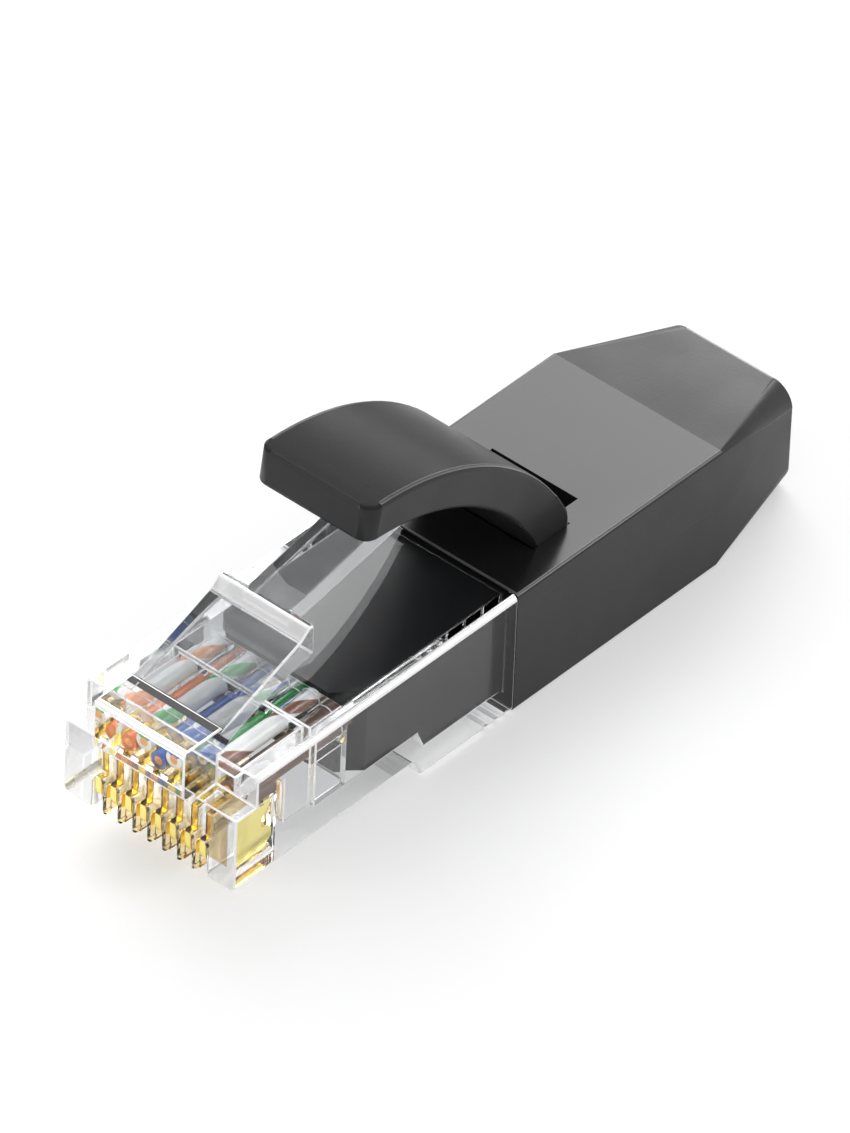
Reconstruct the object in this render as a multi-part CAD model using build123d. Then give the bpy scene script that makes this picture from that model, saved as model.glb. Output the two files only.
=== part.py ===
from build123d import *
import math
import os

# An eight-way modular network plug with its moulded boot, in millimetres.
# X runs across the plug, +Y from the nose to the cable, +Z to the latch side.
# While modelling, y = 0 is the front of the side walls and z = 0 is the plane it rests on.
# Everything is moved at the end so that the origin is the middle of the bottom.

# Clear plug body
plug_width = 11.68
plug_height = 6.6
plug_length = 21.46
heel_drop = 1.15
heel_start = 13.9
heel_slope = 0.5
edge_chamfer = 0.22
roof_wall = 0.75
floor_wall = 0.95
corner_depth = 1.56
corner_floor = 4.74

# Nose block that carries the latch, its heights measured from the deck
nose_width = 6.14
nose_reach = 0.95
nose_back = 1.9
nose_depth = 1.6
nose_rise = 1.6
nose_chamfer = 0.2

# Contact blades, measured from the comb's bottom plane and the front
contact_count = 8
contact_pitch = 1.016
contact_thickness = 0.4
contact_clearance = 0.04
contact_recess = 0.6
contact_front = 0.1
contact_back = 3.7
contact_nose_radius = 0.7
contact_face_top = 2.1
contact_shoulder_gap = 0.23
contact_web_front = 0.85
contact_hook_bevel = 0.55
contact_hook_top = 1.65
contact_waist = 2.95
contact_waist_low_drop = 1.45
contact_waist_high_drop = 0.9
contact_neck_drop = 0.27
prong_front = 2.3
prong_width = 0.45
prong_gap = 0.3
prong_bite = 0.3
prong_point = 0.27
prong_clearance = 0.03
slot_end_gap = 0.2
slot_top_gap = 0.05
mouth_width = 0.72
mouth_depth = 0.3
front_wall = 0.75
comb_wall = 1.0

# Wires on two levels, and the guide that spaces them
wire_diameter = 1.04
wire_cover = 1.6
wire_stagger = 0.65
wire_front = 2.0
wire_clearance = 0.05
wire_end_gap = 0.1
wire_seat = 1.8
guide_front = 6.9
guide_length = 2.4
guide_cover = 0.25
guide_clearance = 0.03
guide_side_cover = 0.49
guide_seat_gap = 0.05

# Inner mould that grips the wires inside the body and the boot
mould_front = 9.6
mould_clearance = 0.05
mould_chamfer = 1.2
mould_neck_width = 7.8
mould_neck_floor = 1.3
mould_neck_cover = 1.7
mould_neck_length = 5.6
mould_hole_clearance = 0.02

# Underside details of the body
clamp_front = 10.2
clamp_length = 2.9
clamp_width = 6.6
clamp_depth = 0.4
grip_count = 3
grip_pitch = 0.8
grip_width = 0.35
grip_depth = 0.35
grip_margin = 0.35

# Latch, its heights measured from the deck
latch_width = 6.2
latch_shoulder = 8.72
latch_shoulder_rise = 4.25
latch_shoulder_foot = 2.35
latch_pivot_y = 2.0
latch_pivot_rise = 0.8
latch_knuckle_radius = 0.6
latch_mid_y = 4.7
latch_mid_thickness = 1.25
latch_mid_rise = 1.9
latch_ramp_length = 1.0
latch_ramp_height = 0.55
latch_ramp_flat = 0.35
tab_width = 2.9
tab_end = 17.8
tab_rise_deg = 11.8
tab_overlap = 0.4
tab_thickness = 1.25
tab_end_radius = 0.4
knuckle_clearance = 0.04

# Boot
boot_straight = 16.0
boot_tail = 7.5
boot_tail_width = 8.6
boot_tail_height = 6.6
boot_tail_radius = 1.4
cable_radius = 2.7
cable_height = 3.3
deck_slot_width = 5.85
deck_slot_length = 1.41
deck_slot_gap = 0.4
deck_slot_depth = 1.4

# Arched press lever
lever_width = 7.8
lever_arc_radius = 17.4
lever_arc_y = 12.13
lever_tab_gap = 0.76
lever_thickness = 2.2
lever_root_thickness = 2.7
lever_tip = 11.9
lever_tip_lean = 0.3
lever_corner_radius = 0.9
lever_edge = 0.18
lever_pivot_rise = 0.35
lever_press_deg = 15.0

# How far a cutting tool runs past the face that it opens
cut_past = 1.0

# Heights and places that follow from the sizes above
comb = heel_drop
deck = comb + plug_height
half_width = plug_width / 2
cavity_roof = deck - roof_wall
boot_end = plug_length + boot_straight
tail_end = boot_end + boot_tail
middle_y = (tail_end - nose_reach) / 2
wire_radius = wire_diameter / 2
wire_bore = wire_radius + wire_clearance
row_half = (contact_count - 1) / 2 * contact_pitch
cavity_half = row_half + wire_bore + guide_side_cover + guide_clearance
prongs_end = prong_front + 2 * prong_width + prong_gap
bay_front = wire_front - wire_end_gap
upper_level = deck - wire_cover
bay_floor = upper_level - wire_stagger - wire_bore
bay_roof = upper_level + wire_bore
contact_top = bay_floor - contact_shoulder_gap
neck_top = deck - mould_neck_cover
guide_floor = bay_floor - guide_cover
guide_top = bay_roof + guide_cover
comb_back = contact_back + slot_end_gap + comb_wall
seat_front = guide_front - guide_seat_gap
latch_pivot = (latch_pivot_y, deck + latch_pivot_rise)
tab_slope = math.tan(math.radians(tab_rise_deg))
tab_end_top = deck + latch_shoulder_rise + tab_slope * (tab_end - latch_shoulder)
lever_inner_radius = lever_arc_radius - lever_thickness
lever_drop = math.sqrt(lever_inner_radius ** 2 - (tab_end - lever_arc_y) ** 2)
lever_centre = (lever_arc_y, tab_end_top + lever_tab_gap - lever_drop)
lever_knuckle_radius = lever_root_thickness / 2


def arc_y(radius, z):
    """Y of the lever's arc of this radius, at height z behind its centre."""
    return lever_centre[0] + math.sqrt(radius ** 2 - (z - lever_centre[1]) ** 2)


def arc_z(radius, y):
    """Height of the lever's arc of this radius above the place y."""
    return lever_centre[1] + math.sqrt(radius ** 2 - (y - lever_centre[0]) ** 2)


lever_pivot_z = deck + lever_pivot_rise
lever_pivot = (arc_y(lever_arc_radius - lever_knuckle_radius, lever_pivot_z), lever_pivot_z)
lever_foot = lever_pivot[0] + math.sqrt(lever_knuckle_radius ** 2 - lever_pivot_rise ** 2)


def contact_x(index):
    """Place across the plug of one contact and its wire, 0 being pin 1."""
    return index * contact_pitch - row_half


def wire_z(index):
    """Height of one wire: odd pins run on the upper level, even pins on the lower one."""
    return upper_level - (index % 2) * wire_stagger


def side_prism(points, half, at=0.0):
    """Solid of a side outline (y, z), from x = at - half to x = at + half."""
    outline = Plane.YZ * make_face(Polyline(*points, close=True))
    return Pos(at, 0, 0) * extrude(outline, amount=half, both=True)


def block(x0, x1, y0, y1, z0, z1):
    """Box between two corners."""
    middle = Pos((x0 + x1) / 2, (y0 + y1) / 2, (z0 + z1) / 2)
    return middle * Box(x1 - x0, y1 - y0, z1 - z0)


def rod(radius, x, z, y0, y1):
    """Round bar along Y."""
    return Pos(x, (y0 + y1) / 2, z) * Rot(90, 0, 0) * Cylinder(radius, y1 - y0)


def cross_rod(radius, pivot, width):
    """Round bar along X at a pivot (y, z)."""
    return Pos(0, *pivot) * Rot(0, 90, 0) * Cylinder(radius, width)


def contact_slots():
    """The comb: one slot for each blade, open to the bottom and the front, with an arched mouth."""
    below = comb - cut_past
    face_top = comb + contact_face_top + slot_top_gap
    back = contact_back + slot_end_gap
    ledge = contact_top + slot_top_gap
    outline = [
        (-cut_past, below),
        (back, below),
        (back, bay_floor + slot_top_gap),
        (bay_front, bay_floor + slot_top_gap),
        (bay_front, ledge),
        (front_wall, ledge),
        (front_wall, face_top),
        (-cut_past, face_top),
    ]
    half = contact_thickness / 2 + contact_clearance
    mouth_radius = mouth_width / 2
    cuts = []
    for index in range(contact_count):
        x = contact_x(index)
        cuts.append(side_prism(outline, half, x))
        arch_z = face_top - mouth_radius
        cuts.append(block(x - mouth_radius, x + mouth_radius, -cut_past, mouth_depth, below, arch_z))
        cuts.append(rod(mouth_radius, x, arch_z, -cut_past, mouth_depth))
    return cuts


def rear_cavity():
    """Room for the guide and the inner mould, open at the back."""
    heel_back = heel_start + floor_wall
    outline = [
        (seat_front, comb + floor_wall),
        (heel_back, comb + floor_wall),
        (heel_back + heel_slope, floor_wall),
        (plug_length + cut_past, floor_wall),
        (plug_length + cut_past, cavity_roof),
        (seat_front, cavity_roof),
    ]
    return side_prism(outline, cavity_half)


def plug_body():
    """Clear moulding: comb, nose block, wire bay, hollow behind the comb, rear cavity and heel."""
    outline = [
        (0, comb),
        (heel_start, comb),
        (heel_start + heel_slope, 0),
        (plug_length, 0),
        (plug_length, deck),
        (0, deck),
    ]
    body = side_prism(outline, half_width)
    body = chamfer(body.edges().filter_by(Axis.Y), edge_chamfer)
    half_nose = nose_width / 2
    corner_z = comb + corner_floor
    past_side = half_width + cut_past
    past_deck = deck + cut_past
    body -= block(half_nose, past_side, -cut_past, corner_depth, corner_z, past_deck)
    body -= block(-past_side, -half_nose, -cut_past, corner_depth, corner_z, past_deck)
    nose = block(-half_nose, half_nose, -nose_reach, nose_back, deck - nose_depth, deck + nose_rise)
    nose = chamfer(nose.edges().filter_by(Axis.X).group_by(Axis.Y)[0], nose_chamfer)
    body += nose
    body -= cross_rod(latch_knuckle_radius + knuckle_clearance, latch_pivot, nose_width + cut_past)
    bay_half = row_half + wire_bore
    body -= block(-bay_half, bay_half, bay_front, seat_front, bay_floor, bay_roof)
    body -= block(-bay_half, bay_half, comb_back, seat_front, comb + floor_wall, bay_roof)
    body -= rear_cavity()
    for cut in contact_slots():
        body -= cut
    half_clamp = clamp_width / 2
    body -= block(-half_clamp, half_clamp, clamp_front, clamp_front + clamp_length, 0, comb + clamp_depth)
    for index in range(grip_count):
        back = plug_length - grip_margin - index * grip_pitch
        body -= block(-past_side, past_side, back - grip_width, back, -cut_past, grip_depth)
    return body


def contact(index):
    """Gold-plated blade: rounded nose, hook at the back, and two prongs that bite into its wire."""
    tip = wire_z(index) + prong_bite
    shoulder = contact_top
    front, back = contact_front, contact_back
    crest = comb + contact_recess
    radius = contact_nose_radius
    top = []
    for start in (prong_front + prong_width + prong_gap, prong_front):
        top.append((start + prong_width, shoulder))
        top.append((start + prong_width, tip - prong_point))
        top.append((start + prong_width / 2, tip))
        top.append((start, tip - prong_point))
        top.append((start, shoulder))
    corner = radius * (1 - math.sqrt(0.5))
    nose = ThreePointArc((front, crest + radius), (front + corner, crest + corner), (front + radius, crest))
    rest = Polyline(
        (front + radius, crest),
        (back - contact_hook_bevel, crest),
        (back, crest + contact_hook_bevel),
        (back, comb + contact_hook_top),
        (contact_waist, shoulder - contact_waist_low_drop),
        (contact_waist, shoulder - contact_waist_high_drop),
        (prongs_end, shoulder - contact_neck_drop),
        *top,
        (contact_web_front, shoulder),
        (contact_web_front, comb + contact_face_top),
        (front, comb + contact_face_top),
        (front, crest + radius),
    )
    face = Plane.YZ * make_face(Curve() + [nose, rest])
    return Pos(contact_x(index), 0, 0) * extrude(face, amount=contact_thickness / 2, both=True)


def wire(index):
    """One insulated wire, straight from its blade to the inner mould, slit where the prongs enter."""
    x, z = contact_x(index), wire_z(index)
    end = mould_front + wire_seat
    core = rod(wire_radius, x, z, wire_front, end)
    half = contact_thickness / 2 + prong_clearance
    slit = block(
        x - half,
        x + half,
        prong_front - prong_clearance,
        prongs_end + prong_clearance,
        z - wire_diameter,
        z + prong_bite + prong_clearance,
    )
    return core - slit


def wire_guide():
    """Clear bar with a hole for each wire, on two levels, and a foot at each end that stands on the cavity's floor."""
    half = cavity_half - guide_clearance
    guide_end = guide_front + guide_length
    foot = comb + floor_wall + guide_clearance
    under = half - guide_side_cover
    guide = block(-half, half, guide_front, guide_end, foot, guide_top)
    guide -= block(-under, under, guide_front - cut_past, guide_end + cut_past, foot - cut_past, guide_floor)
    for index in range(contact_count):
        x, z = contact_x(index), wire_z(index)
        guide -= rod(wire_bore, x, z, guide_front - cut_past, guide_end + cut_past)
    return guide


def inner_mould():
    """Black inner mould: fills the rear cavity round the wires, with a neck that the boot slides over."""
    gap = mould_clearance
    heel_back = heel_start + floor_wall + gap
    outline = [
        (mould_front, comb + floor_wall + gap),
        (heel_back, comb + floor_wall + gap),
        (heel_back + heel_slope, floor_wall + gap),
        (plug_length, floor_wall + gap),
        (plug_length, cavity_roof - gap),
        (mould_front, cavity_roof - gap),
    ]
    mould = side_prism(outline, cavity_half - gap)
    corners = mould.edges().filter_by(Axis.Z).group_by(Axis.Y)[0]
    mould = chamfer(corners, mould_chamfer)
    half_neck = mould_neck_width / 2
    neck_end = plug_length + mould_neck_length
    root_y = plug_length - cut_past
    mould += block(-half_neck, half_neck, root_y, neck_end, mould_neck_floor, neck_top)
    for index in range(contact_count):
        hole = rod(
            wire_radius + mould_hole_clearance,
            contact_x(index),
            wire_z(index),
            mould_front - cut_past,
            mould_front + wire_seat + mould_hole_clearance,
        )
        mould -= hole
    return mould


def latch_tab():
    """Sprung latch: knuckle at the nose, wide arm up to the locking shoulders, then the narrow tab."""
    y0, z0 = latch_pivot
    middle = deck + latch_mid_rise
    slope = math.atan2(middle - z0, latch_mid_y - y0)
    across = (-math.sin(slope) * latch_knuckle_radius, math.cos(slope) * latch_knuckle_radius)
    top = deck + latch_shoulder_rise
    ramp_foot = (latch_shoulder - latch_ramp_length, top - latch_ramp_height)
    upper = Spline(
        (y0 + across[0], z0 + across[1]),
        (latch_mid_y, middle + latch_mid_thickness / 2),
        ramp_foot,
    )
    lower = Spline(
        (latch_shoulder, deck + latch_shoulder_foot),
        (latch_mid_y, middle - latch_mid_thickness / 2),
        (y0 - across[0], z0 - across[1]),
    )
    ramp = Polyline(
        ramp_foot,
        (latch_shoulder - latch_ramp_flat, top),
        (latch_shoulder, top),
        (latch_shoulder, deck + latch_shoulder_foot),
    )
    root = Line((y0 - across[0], z0 - across[1]), (y0 + across[0], z0 + across[1]))
    face = Plane.YZ * make_face(Curve() + [upper, ramp, lower, root])
    arm = extrude(face, amount=latch_width / 2, both=True)
    arm += cross_rod(latch_knuckle_radius, latch_pivot, latch_width)
    start = latch_shoulder - tab_overlap
    start_top = top - tab_slope * tab_overlap
    outline = [
        (start, start_top),
        (tab_end, tab_end_top),
        (tab_end, tab_end_top - tab_thickness),
        (start, start_top - tab_thickness),
    ]
    tab = side_prism(outline, tab_width / 2)
    ends = tab.edges().filter_by(Axis.X).group_by(Axis.Y)[-1]
    tab = fillet(ends, tab_end_radius)
    return arm + tab


def lever_radial():
    """Unit direction, outward from the lever's arc, at its pivot."""
    dy, dz = lever_pivot[0] - lever_centre[0], lever_pivot[1] - lever_centre[1]
    length = math.hypot(dy, dz)
    return dy / length, dz / length


def press_lever():
    """Arched lever that covers the latch: a plate on one arc, a little thicker at its root, with rounded tip corners."""
    ry, rz = lever_radial()
    py, pz = lever_pivot
    r = lever_knuckle_radius
    outer_root = (py + r * ry, pz + r * rz)
    inner_root = (py - r * ry, pz - r * rz)
    under = (py + r * rz, pz - r * ry)
    tip_low_y = lever_tip - lever_tip_lean
    tip_top = (lever_tip, arc_z(lever_arc_radius, lever_tip))
    tip_low = (tip_low_y, arc_z(lever_inner_radius, tip_low_y))
    middle_y_top = (lever_tip + lever_foot) / 2
    middle_top = (middle_y_top, arc_z(lever_arc_radius, middle_y_top))
    middle_thickness = (lever_thickness + lever_root_thickness) / 2
    middle_low = (middle_y_top, arc_z(lever_arc_radius - middle_thickness, middle_y_top))
    edges = [
        ThreePointArc(outer_root, middle_top, tip_top),
        Line(tip_top, tip_low),
        ThreePointArc(tip_low, middle_low, inner_root),
        ThreePointArc(inner_root, under, outer_root),
    ]
    face = Plane.YZ * make_face(Curve() + edges)
    lever = extrude(face, amount=lever_width / 2, both=True)
    tip_face = lever.faces().sort_by(Axis.Y)[0]
    corners = tip_face.edges().sort_by(Axis.X)
    lever = fillet([corners[0], corners[-1]], lever_corner_radius)
    faces = lever.faces().filter_by(GeomType.CYLINDER).sort_by(SortBy.AREA)[-2:]
    rims = faces[0].edges() + faces[1].edges()
    return chamfer([edge for edge in rims if edge.center().Z > deck + lever_thickness], lever_edge)


def boot():
    """Slim moulded boot: straight sleeve, tapered tail, lever cradle, deck slot, pocket and cable bore."""
    front = Plane.XZ.offset(-plug_length) * Pos(0, deck / 2) * RectangleRounded(plug_width, deck, edge_chamfer)
    straight = extrude(front, amount=-boot_straight)
    wide = Plane.XZ.offset(-boot_end) * Pos(0, deck / 2) * RectangleRounded(plug_width, deck, edge_chamfer)
    narrow = Plane.XZ.offset(-tail_end) * Pos(0, boot_tail_height / 2) * RectangleRounded(
        boot_tail_width, boot_tail_height, boot_tail_radius
    )
    shell = straight + loft([wide, narrow], ruled=True)
    half_neck = mould_neck_width / 2 + mould_clearance
    pocket_end = plug_length + mould_neck_length + mould_clearance
    shell -= block(
        -half_neck,
        half_neck,
        plug_length - cut_past,
        pocket_end,
        mould_neck_floor - mould_clearance,
        neck_top + mould_clearance,
    )
    shell -= rod(cable_radius, 0, cable_height, pocket_end - mould_clearance, tail_end + cut_past)
    shell -= lever_cradle()
    slot_front = lever_foot + deck_slot_gap
    half_slot = deck_slot_width / 2
    slot_floor = deck - deck_slot_depth
    slot_back = slot_front + deck_slot_length
    shell -= block(-half_slot, half_slot, slot_front, slot_back, slot_floor, deck + cut_past)
    return shell


def lever_cradle():
    """Groove in the deck for the lever's knuckle, with the lip bevelled for the pressed lever."""
    width = lever_width + 2 * knuckle_clearance
    radius = lever_knuckle_radius + knuckle_clearance
    ry, rz = lever_radial()
    press = math.radians(lever_press_deg)
    ny = -(ry * math.cos(press) - rz * math.sin(press))
    nz = -(ry * math.sin(press) + rz * math.cos(press))
    py, pz = lever_pivot
    touch = (py + radius * ny, pz + radius * nz)
    reach = 2 * lever_knuckle_radius
    above = deck + lever_thickness
    wedge = [
        (py, pz),
        touch,
        (touch[0] + reach * nz, touch[1] - reach * ny),
        (touch[0] + reach * nz, above),
        (py, above),
    ]
    return cross_rod(radius, lever_pivot, width) + side_prism(wedge, width / 2)


def save(name, solid):
    """Moves a piece to the part's own frame and writes it."""
    placed = Pos(0, -middle_y, 0) * solid
    placed.label = name
    export_step(placed, f"parts/{name}.step")


def main():
    os.makedirs("parts", exist_ok=True)
    save("plug_body", plug_body())
    save("latch_tab", latch_tab())
    save("wire_guide", wire_guide())
    save("inner_mould", inner_mould())
    save("boot", boot())
    save("press_lever", press_lever())
    for index in range(contact_count):
        save(f"contact_{index + 1}", contact(index))
        save(f"wire_{index + 1}", wire(index))


main()
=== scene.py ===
"""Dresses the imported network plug: clear nose, gold blades, coloured wires, black boot.

The mesh work is in millimetres on the plug's own drawing, where y = 0 is the front of the
side walls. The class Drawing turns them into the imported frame's metres. The finishes are in
those metres from the start, because a shader reads its coordinates in them.
"""

from __future__ import annotations

import logging
import math
from dataclasses import dataclass
from enum import Enum

import bmesh
import bpy
from mathutils import Matrix, Vector

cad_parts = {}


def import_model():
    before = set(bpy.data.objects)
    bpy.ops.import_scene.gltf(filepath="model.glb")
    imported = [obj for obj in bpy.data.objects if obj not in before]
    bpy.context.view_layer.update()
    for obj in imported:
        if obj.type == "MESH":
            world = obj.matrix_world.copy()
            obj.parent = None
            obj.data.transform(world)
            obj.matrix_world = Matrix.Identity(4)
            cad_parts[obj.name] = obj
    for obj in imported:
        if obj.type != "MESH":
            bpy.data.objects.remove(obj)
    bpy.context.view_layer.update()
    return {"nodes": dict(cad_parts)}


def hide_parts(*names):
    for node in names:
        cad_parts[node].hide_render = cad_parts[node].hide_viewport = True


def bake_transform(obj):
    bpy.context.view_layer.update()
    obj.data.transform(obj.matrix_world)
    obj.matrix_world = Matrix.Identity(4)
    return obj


LOG = logging.getLogger("plug")
MM = 0.001

# Mesh work: what counts as one point, as one flat face, as a sharp edge, as near a root.
WELD_MM = 0.0005
FLAT_DEG = 0.6
SHARP_DEG = 34.0
ROOT_MM = 2.0
ROD_FACETS = 48
ROUND_SEGMENTS = 2
ROUND_PROFILE = 0.5

# Noise: the middle of its range, and the parts of it that show as rubs and scratches.
PATCH_BAND = (0.3, 0.7)
RUB_BAND = (0.42, 0.72)
SCRATCH_BAND = (0.66, 0.7)
SCRATCH_TURN = (0.3, 0.5, 0.9)
SCRATCH_SCALE = (900.0, 60.0, 900.0)

Socket = bpy.types.NodeSocket
Material = bpy.types.Material
Object = bpy.types.Object
Mesh = bmesh.types.BMesh
Face = bmesh.types.BMFace
Pair = tuple[float, float]
Point = tuple[float, float, float]
Colour = tuple[float, float, float, float]

WHITE: Colour = (1.0, 1.0, 1.0, 1.0)

# A Mix node's sockets for two colours and the mixed one.
MIX_FIRST, MIX_SECOND, MIX_RESULT = 6, 7, 2


def grey(level: float, blue: float) -> Colour:
    """Gives a nearly neutral grey."""
    return (level, level, blue, 1.0)


class Body(Enum):
    """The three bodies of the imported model."""

    PLUG = "plug"
    LATCH = "latch"
    LEVER = "lever"


class Level(Enum):
    """The two heights that the wires run at, in millimetres above the rest plane."""

    UPPER = 6.15
    LOWER = 5.5


@dataclass(frozen=True)
class Drawing:
    """The plug's own drawing, in millimetres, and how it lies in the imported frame.

    Attributes:
        middle_y: the place on the drawing that lies over the frame's origin.
        comb: height of the front part's underside.
        deck: height of the flat top.
        pitch: distance between neighbouring blades.
        pins: number of blades.
    """

    middle_y: float = 22.005
    comb: float = 1.15
    deck: float = 7.75
    pitch: float = 1.016
    pins: int = 8

    def at(self, x: float, y: float, z: float) -> Vector:
        """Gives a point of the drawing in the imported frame's metres."""
        return Vector((x, y - self.middle_y, z)) * MM

    def pin_x(self, index: int) -> float:
        """Gives the place across the plug of one pin, 0 being pin 1."""
        return (index - (self.pins - 1) / 2) * self.pitch

    def pin_level(self, index: int) -> Level:
        """Gives the level that one pin's wire runs on."""
        return Level.LOWER if index % 2 else Level.UPPER


class Nodes:
    """A small writer of shader node trees, which keeps each finish's own code short."""

    def __init__(self, tree: bpy.types.NodeTree) -> None:
        """Starts on an empty tree.

        Args:
            tree: the node tree of a material, a world or a group.
        """
        self.tree = tree
        tree.nodes.clear()

    def add(
        self,
        kind: str,
        links: dict[str, Socket] | None = None,
        **settings: object,
    ) -> bpy.types.Node:
        """Adds one node.

        Args:
            kind: the node's type name without its ShaderNode prefix.
            links: sockets that feed its inputs, by input name or number.
            settings: properties of the node, or values of its inputs with spaces as underscores.

        Returns:
            The new node.
        """
        node = self.tree.nodes.new("ShaderNode" + kind)
        for name, value in settings.items():
            if hasattr(node, name):
                setattr(node, name, value)
            else:
                node.inputs[name.replace("_", " ")].default_value = value
        for name, socket in (links or {}).items():
            self.tree.links.new(socket, node.inputs[name])
        return node

    def maths(self, operation: str, *terms: Socket | float) -> Socket:
        """Joins numbers with one Math operation.

        Args:
            operation: the Math node's operation.
            terms: sockets or plain numbers, in the node's order.

        Returns:
            The socket with the result.
        """
        node = self.add("Math", operation=operation)
        for index, term in enumerate(terms):
            self._feed(node.inputs[index], term)
        return node.outputs[0]

    def blend(self, share: Socket, first: object, second: object) -> Socket:
        """Mixes two colours.

        Args:
            share: how much of the second colour shows, 0 to 1.
            first: a colour or a socket.
            second: a colour or a socket.

        Returns:
            The socket with the mixed colour.
        """
        node = self.add("Mix", {"Factor": share}, data_type="RGBA")
        self._feed(node.inputs[MIX_FIRST], first)
        self._feed(node.inputs[MIX_SECOND], second)
        return node.outputs[MIX_RESULT]

    def _feed(self, slot: Socket, source: object) -> None:
        """Links a socket to an input, or writes a plain value there.

        Args:
            slot: the input.
            source: the socket or the value.
        """
        if isinstance(source, Socket):
            self.tree.links.new(source, slot)
        else:
            slot.default_value = source

    def ramp(
        self,
        value: Socket,
        low: float,
        high: float,
        to_low: float = 0.0,
        to_high: float = 1.0,
    ) -> Socket:
        """Maps one range onto another, smoothly and clamped.

        Args:
            value: the socket with the number to map.
            low: where its range begins.
            high: where its range ends.
            to_low: what the beginning becomes.
            to_high: what the end becomes.

        Returns:
            The socket with the result.
        """
        node = self.add("MapRange", {0: value}, interpolation_type="SMOOTHSTEP")
        for index, number in enumerate((low, high, to_low, to_high), start=1):
            node.inputs[index].default_value = number
        return node.outputs[0]

    def end(self, surface: Socket, shade: Colour | None = None) -> None:
        """Ends a material's tree.

        Args:
            surface: the finished shader.
            shade: share of a lamp's light that passes straight through, by colour.
        """
        if shade is not None:
            lamp = self.add("BsdfTransparent", Color=shade)
            shadow = self.add("LightPath").outputs["Is Shadow Ray"]
            mix = self.add("MixShader", {0: shadow, 1: surface, 2: lamp.outputs[0]})
            surface = mix.outputs[0]
        self.add("OutputMaterial", {"Surface": surface})


def new_material(name: str) -> tuple[Material, Nodes]:
    """Starts a material.

    Args:
        name: its name.

    Returns:
        The material, and a writer on its empty tree.
    """
    material = bpy.data.materials.new(name)
    material.use_nodes = True
    return material, Nodes(material.node_tree)


class Groups:
    """The shader node groups that several finishes share, each built once."""

    def __init__(self) -> None:
        """Builds every group."""
        self.grain = self._grain()
        self.handling = self._handling()

    def _start(
        self, name: str, inputs: dict[str, float], outputs: list[str]
    ) -> tuple[bpy.types.NodeTree, Nodes, dict]:
        """Makes an empty group with named sockets.

        Args:
            name: the group's name.
            inputs: its float inputs and their usual values.
            outputs: its float outputs.

        Returns:
            The group, its writer, and its input sockets by name.
        """
        tree = bpy.data.node_groups.new(name, "ShaderNodeTree")
        for key, value in inputs.items():
            socket = tree.interface.new_socket(
                name=key, in_out="INPUT", socket_type="NodeSocketFloat"
            )
            socket.default_value = value
        for key in outputs:
            tree.interface.new_socket(name=key, in_out="OUTPUT", socket_type="NodeSocketFloat")
        write = Nodes(tree)
        source = tree.nodes.new("NodeGroupInput")
        return tree, write, {key: source.outputs[key] for key in inputs}

    def _grain(self) -> bpy.types.NodeTree:
        """Builds the fine spark-eroded grain of a moulded surface.

        Returns:
            A group that puts out Height, 0 to 1, and Patch, a slow variation from 0 to 1.
        """
        usual = {"Scale": 6000.0, "Patch Scale": 260.0}
        tree, write, source = self._start("moulded_grain", usual, ["Height", "Patch"])
        place = write.add("TexCoord").outputs["Object"]
        fine = write.add(
            "TexNoise", {"Vector": place, "Scale": source["Scale"]}, Detail=3.0, Roughness=0.55
        )
        slow = write.add("TexNoise", {"Vector": place, "Scale": source["Patch Scale"]}, Detail=2.0)
        out = tree.nodes.new("NodeGroupOutput")
        tree.links.new(fine.outputs["Fac"], out.inputs["Height"])
        tree.links.new(slow.outputs["Fac"], out.inputs["Patch"])
        return tree

    def _handling(self) -> bpy.types.NodeTree:
        """Builds the faint rubs and hairline scratches of handled plastic or metal.

        Returns:
            A group that puts out Rub, 0 to 1, and Scratch, 0 to 1.
        """
        usual = {"Scale": 400.0, "Amount": 0.5}
        tree, write, source = self._start("handling_marks", usual, ["Rub", "Scratch"])
        place = write.add("TexCoord").outputs["Object"]
        cloud = write.add(
            "TexNoise", {"Vector": place, "Scale": source["Scale"]}, Detail=4.0, Roughness=0.6
        )
        rubbed = write.ramp(cloud.outputs["Fac"], *RUB_BAND)
        rub = write.maths("MULTIPLY", rubbed, source["Amount"])
        turned = write.add("Mapping", {"Vector": place}, Rotation=SCRATCH_TURN, Scale=SCRATCH_SCALE)
        lines = write.add("TexNoise", {"Vector": turned.outputs["Vector"]}, Detail=1.0, Scale=2.0)
        thin = write.ramp(lines.outputs["Fac"], *SCRATCH_BAND)
        scratch = write.maths("MULTIPLY", thin, source["Amount"])
        out = tree.nodes.new("NodeGroupOutput")
        tree.links.new(rub, out.inputs["Rub"])
        tree.links.new(scratch, out.inputs["Scratch"])
        return tree


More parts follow.
